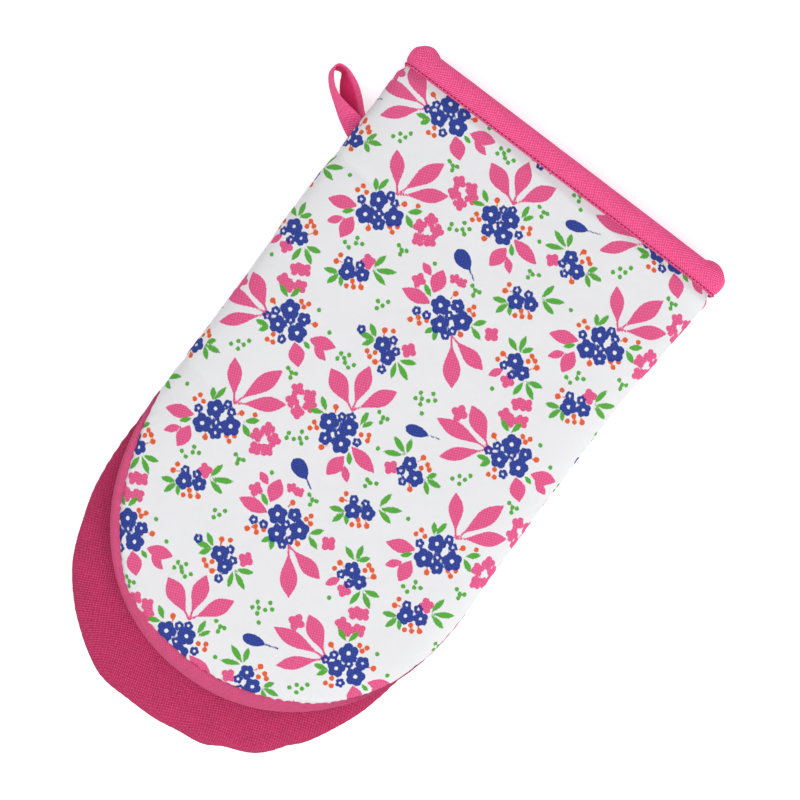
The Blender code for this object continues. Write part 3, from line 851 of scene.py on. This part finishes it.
def paintFlowers(spots, shown):
    # The inks over the cloth. Only the first, outer points take them.
    ink = Ink(*pulled(spots[:shown, 0], mitt["length"] / 2 - spots[:shown, 1]))
    for x, t, leaves in fans:
        for tipX, tipT, width in leaves:
            foot, tip = (x, t), (tipX, tipT)
            start, stop = between(foot, tip, fanLeaf["foot"]), between(foot, tip, fanLeaf["tip"])
            ink.leaf("pinkInk", start, stop, width * fanLeaf["wide"], fanLeaf["peak"], fanLeaf["sharp"])
            ink.line("pinkInk", foot, between(foot, tip, fanLeaf["stem"]), fanLeaf["stemThick"])
    for x, t, tipX, tipT, width in pinkLeaves:
        stop = between((x, t), (tipX, tipT), pinkLeaf["tip"])
        ink.leaf("pinkInk", (x, t), stop, width * pinkLeaf["wide"], pinkLeaf["peak"])
    for x, t, radius in blossoms:
        ink.petals("pinkInk", (x, t), radius, blossom["petals"], 0.0, blossom["turn"] * x)
    for x, t, turn in sprays:
        for k in range(spray["count"]):
            angle = turn + k * spray["turn"] + spray["sway"] * math.sin(3 * k + x)
            far = spray["far"] if k % 2 else spray["near"]
            spot = (x + far * math.cos(angle), t + far * math.sin(angle))
            ink.petals("pinkInk", spot, spray["radius"], blossom["petals"], 0.0, spray["spin"] * k + turn)
    for x, t, tipX, tipT, width in greenLeaves:
        foot, tip = (x, t), (tipX, tipT)
        start, stop = between(foot, tip, greenLeaf["foot"]), between(foot, tip, greenLeaf["tip"])
        ink.leaf("greenInk", start, stop, width * greenLeaf["wide"], greenLeaf["peak"])
    for x, t in dots:
        ink.spot("greenInk", (x, t), dotRadius)
    for x, t in berries:
        ink.spot("orangeInk", (x, t), berryRadius)
    for x, t, endX, endT in buds:
        ink.spot("orangeInk", (x, t), budRadius)
        ink.line("orangeInk", (x, t), (endX, endT), stalkThick)
    for x, t, radius in rosettes:
        ink.petals("blueInk", (x, t), radius * rosette["wide"], rosette["petals"], rosette["hole"], x + t)
    for x, t in smallRosettes:
        ink.petals("blueInk", (x, t), rosette["smallRadius"], rosette["petals"], rosette["smallHole"], x - t)
    for x, t, tipX, tipT, endX, endT, width in seedLeaves:
        ink.leaf("blueInk", (x, t), (tipX, tipT), width, seedLeaf["peak"], seedLeaf["sharp"])
        ink.line("blueInk", (tipX, tipT), (endX, endT), seedLeaf["stemThick"])
    rest = np.full(len(spots) - shown, inkReach)
    return {name: np.concatenate([found, rest]) for name, found in ink.found.items()}


def paintPalm(spots, shown):
    # The palm is cut from the same cloth, turned over and moved along the repeat.
    moved = np.column_stack([palmCut["x"] - spots[:, 0], spots[:, 1] + palmCut["y"]])
    return paintFlowers(moved, shown)


cloth = {"depths": (0.0, 0.55), "backStep": 0.86, "palmStep": 1.2, "gripStep": 1.3, "innerEvery": 4}
innerEvery = cloth["innerEvery"]
backCloth = padSheet("backCloth", backPad, cloth["depths"], cloth["backStep"], printCloth, innerEvery, paintFlowers)
palmCloth = padSheet("palmCloth", palmPad, cloth["depths"], cloth["palmStep"], printCloth, innerEvery, paintPalm)
thumbGripCloth = padSheet("thumbGripCloth", thumbGripPad, cloth["depths"], cloth["gripStep"], gripCloth)
print("print and thumb cloths made")

band = {
    "rings": 12, "swell": 0.9, "widthEases": 4, "leastWidth": 0.2, "grooveWide": 1.1, "ripple": 0.25,
    "rippleEvery": 7.3, "rippleDrift": 13.0, "up": 0.5,
}


def bandRings(rimPoints, depth, end):
    # The band rolls from the underside's rim over the tip: rings with a half sine of swell and a sewn groove.
    planX = rimPoints[:, 0] / (mitt["foldHalf"] - depth)
    planY = -np.minimum(0.0, rimPoints[:, 1] - end["roundY"]) / (end["reach"] - depth)
    edge = bandEdge(np.arctan2(planY, planX))
    reach = np.arccos(np.clip(edge, 0, 1) ** (mitt["crown"] / 2))
    edgeLength = np.interp(edge, sheetRho, sheetLength)
    width = np.maximum(band["leastWidth"], sheetLength[-1] - edgeLength)
    run = lengthAlong(rimPoints)
    ripple = np.sin(2 * math.pi * run / band["rippleEvery"] + np.sin(run / band["rippleDrift"]))
    rings, spots = [], []
    for k in range(1, band["rings"] + 1):
        share = k / band["rings"]
        rho = np.cos(reach * share) ** (2 / mitt["crown"])
        level = np.full(len(rho), end["roundY"])
        ring = placePad(backInner, depth, planX * rho, level, planY * rho, rho)["points"]
        away = np.abs(edgeLength - np.interp(rho, sheetRho, sheetLength))
        out = band["swell"] * np.sin(math.pi * share) * smooth(width / band["widthEases"])
        out = out - sewn["grooveDeep"] * hill(away, band["grooveWide"])
        out = out + band["ripple"] * ripple * share * smooth(width / band["widthEases"])
        up = np.full(len(rho), band["up"] * (1 + share))
        outward = np.stack([planX * share, -planY * share, up], -1)
        outward = outward / np.linalg.norm(outward, axis=1, keepdims=True)
        rings.append(ring + outward * out[:, None])
        spots.append(np.column_stack([run, -width * share]))
    return rings, spots


def makeFingerGrip(name, pad, depths, step, material):
    # The underside of the finger pocket with its rolled band, which comes over the tip onto the top.
    skins = []
    for depth in depths:
        grid = padGrid(pad, depth, step, step)
        rows, columns = grid["u"].shape
        under = relief(grid, pad, False)
        index = np.arange(rows * columns).reshape(rows, columns)
        rim = np.concatenate([index[:, -1], index[-1, -2::-1], index[-2::-1, 0]])
        rings, spots = bandRings(grid["points"].reshape(-1, 3)[rim], depth, pad["end"])
        points = np.concatenate([under.reshape(-1, 3)] + rings)
        flat = np.concatenate([np.column_stack([grid["u"].ravel(), grid["v"].ravel()])] + spots)
        skins.append((points, flat))
    base = rows * columns
    count = len(rim)
    chain = np.stack([rim] + [base + k * count + np.arange(count) for k in range(band["rings"])])
    corners = [chain[:-1, 1:], chain[:-1, :-1], chain[1:, :-1], chain[1:, 1:]]
    strips = np.column_stack([corner.ravel() for corner in corners])
    faces = np.concatenate([gridFaces(rows, columns, False), strips])
    loop = np.concatenate([index[0, :-1], chain[:-1, 0], chain[-1, :-1], chain[:0:-1, -1]])
    total = len(skins[0][0])
    faceSets = closeShell(total, faces, loop, faces, loop, 1)
    # The band's rings are marked 1 for painted light and the underside 0.
    rolledBandPaintedLight = np.tile(np.concatenate([np.zeros(base), np.ones(count * band["rings"])]), 2)
    points = np.concatenate([skin[0] for skin in skins])
    spots = np.concatenate([skin[1] for skin in skins])
    return makeMesh(name, points, faceSets, material, spots, {"rolledBandPaintedLight": rolledBandPaintedLight})


fingerGripCloth = makeFingerGrip("fingerGripCloth", fingerGripPad, cloth["depths"], cloth["gripStep"], gripCloth)
print("finger grip made")


# Depths of a layer's two skins below the pad's own, and the size of its faces.
layers = {"wadding": (2.0, 4.4), "waddingStep": 3.0, "lining": (4.7, 5.2), "liningStep": 2.6}
layerPieces = {}
for key, pad in (("back", backInner), ("palm", palmPad), ("thumbGrip", thumbGripPad), ("fingerGrip", fingerGripPad)):
    for kind, material in (("Wadding", waddingFelt), ("Lining", liningCloth)):
        depths, step = layers[kind.lower()], layers[kind.lower() + "Step"]
        layerPieces[key + kind] = padSheet(key + kind, pad, depths, step, material, 1, None, False)
print("waddings and linings made")


binding = {
    "stations": 240, "places": 3, "rise": 16.0, "outside": 2, "bulge": -0.4, "bulgeReach": 5, "bulgeFrom": 154,
    "bulgeEases": 4,
    "tuck": 0.3, "tuckY": 153, "tuckWide": 1.3, "right": 1.1, "rightReach": 9, "lift": 2.0, "liftAt": 3.2,
    "liftWide": 3.0, "drop": 0.8, "dropReach": 4, "dropPower": 1.4, "lower": 0.5, "topFrom": 158, "topEases": 7,
    "wave": 0.28, "waveLength": 24, "waveSeed": 2.2, "waveFrom": 154.5,
}
stitch = {
    "depth": -1.68, "y": 153.45, "every": 2.1, "long": 0.7, "thick": 0.24, "sides": 8, "rings": 7, "blunt": 0.02,
}
# The folded tape's section: depth below the pad's skin, and y. It goes out, over the top and in again.
bindingSection = [
    (-0.35, 153.0), (-1.0, 152.6), (-1.6, 153.1), (-1.35, 154.2), (-2.2, 156.0), (-2.7, 158.4), (-2.6, 160.9),
    (-1.7, 163.3), (0.6, 164.9), (2.6, 165.3), (4.7, 164.9), (7.0, 163.3), (7.9, 160.9), (8.0, 158.4), (7.5, 156.0),
    (6.65, 154.2), (6.9, 153.1), (6.3, 152.6), (5.65, 153.0), (5.6, 158.0), (5.6, 163.6), (5.0, 164.2), (0.3, 164.2),
    (-0.3, 163.6), (-0.3, 158.0),
]


def curveThrough(p, times, closed):
    # Catmull-Rom curve through the points, with so many places to each stretch.
    p = np.array(p, float)
    if not closed:
        p = np.concatenate([2 * p[:1] - p[1:2], p, 2 * p[-1:] - p[-2:-1]])
    a, b, c, d = [np.roll(p, k, 0)[:, None] for k in (1, 0, -1, -2)]
    t = (np.arange(times) / times)[None, :, None]
    curve = 0.5 * (2 * b + (c - a) * t + (2 * a - 5 * b + 4 * c - d) * t**2 + (3 * b - a - 3 * c + d) * t**3)
    if closed:
        return curve.reshape(-1, p.shape[1])
    return np.concatenate([curve[1:-2].reshape(-1, p.shape[1]), p[-2:-1]])


def cuffRing(depth, y):
    # One turn round the cuff at a depth and y, over the back and then under the palm.
    share = np.linspace(-1, 1, binding["stations"] + 1)
    rho, length = arcTable(mitt["cuffHalf"], binding["rise"], mitt["crown"])
    a = np.sign(share) * np.interp(np.abs(share), length / length[-1], rho)
    parts = []
    for pad, columns in ((backInner, a[:-1]), (palmPad, a[:0:-1])):
        level = np.full(len(columns), mitt["cuffY"])
        parts.append(placePad(pad, depth, columns, level, np.zeros(len(columns)), np.abs(columns))["points"])
    ring = np.concatenate(parts)
    # Near both ends the binding swells, stands up as a knob (a hill) and then rounds off (a smooth step down).
    inward = np.abs(ring[:, 0] - mitt["cuffShift"])
    inward = inward.max() - inward
    swell = binding["bulge"] * np.clip((y - binding["bulgeFrom"]) / binding["bulgeEases"], 0, 1)
    swell = swell - binding["tuck"] * hill(y - binding["tuckY"], binding["tuckWide"])
    if depth < binding["outside"]:
        ring[:, 0] += np.sign(ring[:, 0]) * swell * smooth(1 - inward / binding["bulgeReach"])
        ring[:, 0] += np.where(ring[:, 0] > 0, binding["right"] * smooth(1 - inward / binding["rightReach"]), 0)
    knob = binding["lift"] * hill(inward - binding["liftAt"], binding["liftWide"])
    knob = knob - binding["drop"] * smooth(1 - inward / binding["dropReach"]) ** binding["dropPower"]
    top = np.clip((y - binding["topFrom"]) / binding["topEases"], 0, 1)
    ring[:, 1] = y + (knob - binding["lower"]) * top
    return ring


def makeBinding(name, material):
    section = curveThrough(bindingSection, binding["places"], True)
    rings = np.stack([cuffRing(depth, y) for depth, y in section])
    count, stations = rings.shape[:2]
    run = lengthAlong(rings[0])
    runs, ys = run[None] * np.ones((count, 1)), section[:, 1:2] * np.ones((1, stations))
    shape = binding["wave"] * waves(runs, ys, binding["waveLength"], binding["waveSeed"])
    outside = (section[:, 0] < binding["outside"]) & (section[:, 1] > binding["waveFrom"])
    rings[..., 2] += np.where(outside[:, None], shape * np.sign(rings[..., 2] - mitt["foldZ"]), 0)
    index = np.arange(count * stations).reshape(count, stations)
    right, down = np.roll(index, -1, 1), np.roll(index, -1, 0)
    corner = np.roll(down, -1, 1)
    faces = np.column_stack([index.ravel(), right.ravel(), corner.ravel(), down.ravel()])
    way = lengthAlong(section)
    spots = np.column_stack([np.tile(run, count), np.repeat(way, stations)])
    points = slanted(rings).reshape(-1, 3)
    # Underneath, the tape is pressed flat by what the mitt lies on.
    points[:, 2] = np.maximum(points[:, 2], 0.0)
    return makeMesh(name, points, [faces], material, spots)


def makeStitches(name, material):
    # Separate dashes: rounded rods along the binding's lower edge, on the back and on the palm.
    ring = slanted(cuffRing(stitch["depth"], stitch["y"]))
    ring[:, 2] = np.maximum(ring[:, 2], stitch["thick"])
    closed = np.concatenate([ring, ring[:1]])
    run = lengthAlong(closed)
    count = int(run[-1] / stitch["every"])
    at = (np.arange(count) + 0.5) * run[-1] / count
    middle = np.column_stack([np.interp(at, run, closed[:, k]) for k in range(3)])
    ahead = np.column_stack([np.interp(at + 0.5, run, closed[:, k]) for k in range(3)])
    way = ahead - middle
    way /= np.linalg.norm(way, axis=1, keepdims=True)
    side = np.tile([0.0, 1.0, 0.0], (count, 1))
    out = np.cross(way, side)
    out /= np.linalg.norm(out, axis=1, keepdims=True)
    sides, rings = stitch["sides"], stitch["rings"]
    turns = np.arange(sides) * 2 * math.pi / sides
    tilts = np.linspace(0, math.pi, rings)
    long = -np.cos(tilts)[:, None] * np.ones(sides) * stitch["long"]
    thin = np.maximum(np.sin(tilts), stitch["blunt"])[:, None] ** 0.5 * stitch["thick"]
    one, two = thin * np.cos(turns), thin * np.sin(turns)
    points = middle[:, None, None] + way[:, None, None] * long[..., None]
    points = points + side[:, None, None] * one[..., None] + out[:, None, None] * two[..., None]
    index = np.arange(rings * sides).reshape(rings, sides)
    later = np.roll(index, -1, 1)
    quads = np.column_stack([index[:-1].ravel(), index[1:].ravel(), later[1:].ravel(), later[:-1].ravel()])
    caps = np.stack([index[0], index[-1][::-1]])
    step = (np.arange(count) * rings * sides)[:, None, None]
    faceSets = [(quads + step).reshape(-1, 4), (caps + step).reshape(-1, sides)]
    spots = points.reshape(-1, 3)[:, :2]
    return makeMesh(name, points.reshape(-1, 3), faceSets, material, spots)


cuffBinding = makeBinding("cuffBinding", tapeCloth)
cuffStitches = makeStitches("cuffStitches", stitchThread)
print("cuff bound")


loopTape = {
    "thick": 1.1, "width": 12.0, "seamZ": 17.2, "steps": 10, "across": 20, "leastDrop": 0.5, "lift": 0.35,
    "edgeThin": 0.45, "edgePower": 8, "sewnDeep": 0.2, "sewnAt": 0.18, "hem": 0.78, "sewnWide": 0.03,
    "hemEases": 0.05,
}
# The tape's upper edge (x, distance from the cuff), its lower edge, and the height of its middle above the seam.
loopRails = [
    (-83.0, 46.3, -83.0, 57.8, 0.6),
    (-87.5, 46.0, -87.5, 57.0, 0.8),
    (-92.0, 45.7, -92.0, 54.8, 1.2),
    (-97.0, 45.2, -97.0, 51.7, 1.4),
    (-101.5, 44.3, -101.5, 48.4, 1.2),
    (-106.0, 41.9, -106.2, 45.0, 0.8),
    (-109.6, 38.0, -110.4, 41.0, 0.3),
    (-111.0, 34.4, -112.4, 37.2, 0.0),
    (-109.9, 32.3, -111.0, 35.1, -0.3),
    (-106.6, 31.8, -107.7, 34.5, -0.8),
    (-102.8, 32.6, -105.4, 38.7, -1.2),
    (-98.0, 34.6, -102.0, 43.5, -1.6),
    (-93.0, 38.4, -97.0, 48.3, -1.8),
    (-88.0, 43.3, -91.0, 52.3, -1.4),
    (-83.0, 46.0, -84.0, 57.0, -0.9),
]


def makeLoop(name, material):
    # A closed ribbon between two rails. The rails' difference in height makes up the tape's full width.
    rails = curveThrough(loopRails, loopTape["steps"], False)
    top = np.column_stack([rails[:, 0], mitt["length"] / 2 - rails[:, 1]])
    low = np.column_stack([rails[:, 2], mitt["length"] / 2 - rails[:, 3]])
    shown = np.sum((top - low) ** 2, axis=1)
    drop = np.sqrt(np.maximum(loopTape["leastDrop"], loopTape["width"] ** 2 - shown))
    z = loopTape["seamZ"] + rails[:, 4] + loopTape["lift"] * drop
    top = np.column_stack([top, z + drop * 0.5])
    low = np.column_stack([low, z - drop * 0.5])
    share = np.linspace(0, 1, loopTape["across"] + 1)
    middle = low[:, None] + (top - low)[:, None] * share[None, :, None]
    normal = np.cross(np.gradient(middle, axis=0), np.gradient(middle, axis=1))
    normal /= np.linalg.norm(normal, axis=-1, keepdims=True)
    half = loopTape["thick"] / 2 * (1 - loopTape["edgeThin"] * np.abs(2 * share - 1) ** loopTape["edgePower"])
    # Two sewn lines press the tape in near its edges.
    lines = sum(hill(share - at, loopTape["sewnWide"]) for at in (loopTape["sewnAt"], loopTape["hem"]))
    half = half - loopTape["sewnDeep"] * lines
    outer = middle + normal * half[None, :, None]
    inner = middle - normal * half[None, :, None]
    rows, columns = outer.shape[:2]
    faces, loop = gridFaces(rows, columns, True), gridLoop(rows, columns, True)
    run = lengthAlong(middle[:, loopTape["across"] // 2])
    spots = np.column_stack([np.tile(share * loopTape["width"], rows), np.repeat(run, columns)])
    # Painted shade: the face inside the loop is darkened in colour, up to the folded hem along its upper edge.
    deep = np.tile(smooth((loopTape["hem"] - share) / loopTape["hemEases"]), rows)
    values = {"inside": np.concatenate([deep, np.zeros(rows * columns)])}
    faceSets = closeShell(rows * columns, faces, loop, faces, loop, 1)
    points = np.concatenate([outer.reshape(-1, 3), inner.reshape(-1, 3)])
    return makeMesh(name, points, faceSets, material, np.concatenate([spots, spots]), values)


hangingLoop = makeLoop("hangingLoop", tapeCloth)
print("loop made")


def makeFloor(floorLook):
    half, z, white = floorLook["size"] / 2, -floorLook["below"], floorLook["white"]
    points = np.array([(-half, -half, z), (half, -half, z), (half, half, z), (-half, half, z)])
    look = Look("paleFloor", floorLook["roughness"])
    look.shader.inputs["Base Color"].default_value = (white, white, white, 1.0)
    look.shader.inputs["Emission Color"].default_value = (1.0, 1.0, 1.0, 1.0)
    look.shader.inputs["Emission Strength"].default_value = floorLook["glow"]
    floor = makeMesh("floor", points, [np.array([[0, 1, 2, 3]])], look.material, points[:, :2])


makeFloor(floorLook)

bendStart = (0.0, -0.031, 0.0171)
bendEnd = (0.0, -0.062, 0.0171)


def settle(piece, body, slotName, *nodes):
    if isinstance(body, str):
        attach(piece, body)
    else:
        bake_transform(piece)
    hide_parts(*nodes)


backBend = ("sleeve", "finger_pocket", bendStart, bendEnd)
loopBend = ("sleeve", "hanging_loop", (-0.0875, 0.115, 0.0158), (-0.0935, 0.115, 0.0158))
settle(backCloth, backBend, "print_cloth", "back_shell", "finger_shell")
settle(palmCloth, "sleeve", "print_cloth", "palm_shell")
settle(thumbGripCloth, "sleeve", "grip_cloth", "thumb_grip_shell")
settle(fingerGripCloth, backBend, "grip_cloth", "finger_grip_shell")
layerNodes = {
    "back": (backBend, ("back", "finger")),
    "palm": ("sleeve", ("palm",)),
    "thumbGrip": ("sleeve", ("thumb_grip",)),
    "fingerGrip": (backBend, ("finger_grip",)),
}
for kind, slotName in (("Wadding", "wadding"), ("Lining", "lining_cloth")):
    for key, (body, stems) in layerNodes.items():
        settle(layerPieces[key + kind], body, slotName, *[stem + "_" + kind.lower() for stem in stems])
settle(cuffBinding, "sleeve", "tape_cloth", "cuff_binding")
settle(cuffStitches, "sleeve", "thread", "cuff_thread")
settle(hangingLoop, loopBend, "tape_cloth", "hanging_loop")

print("pieces settled")
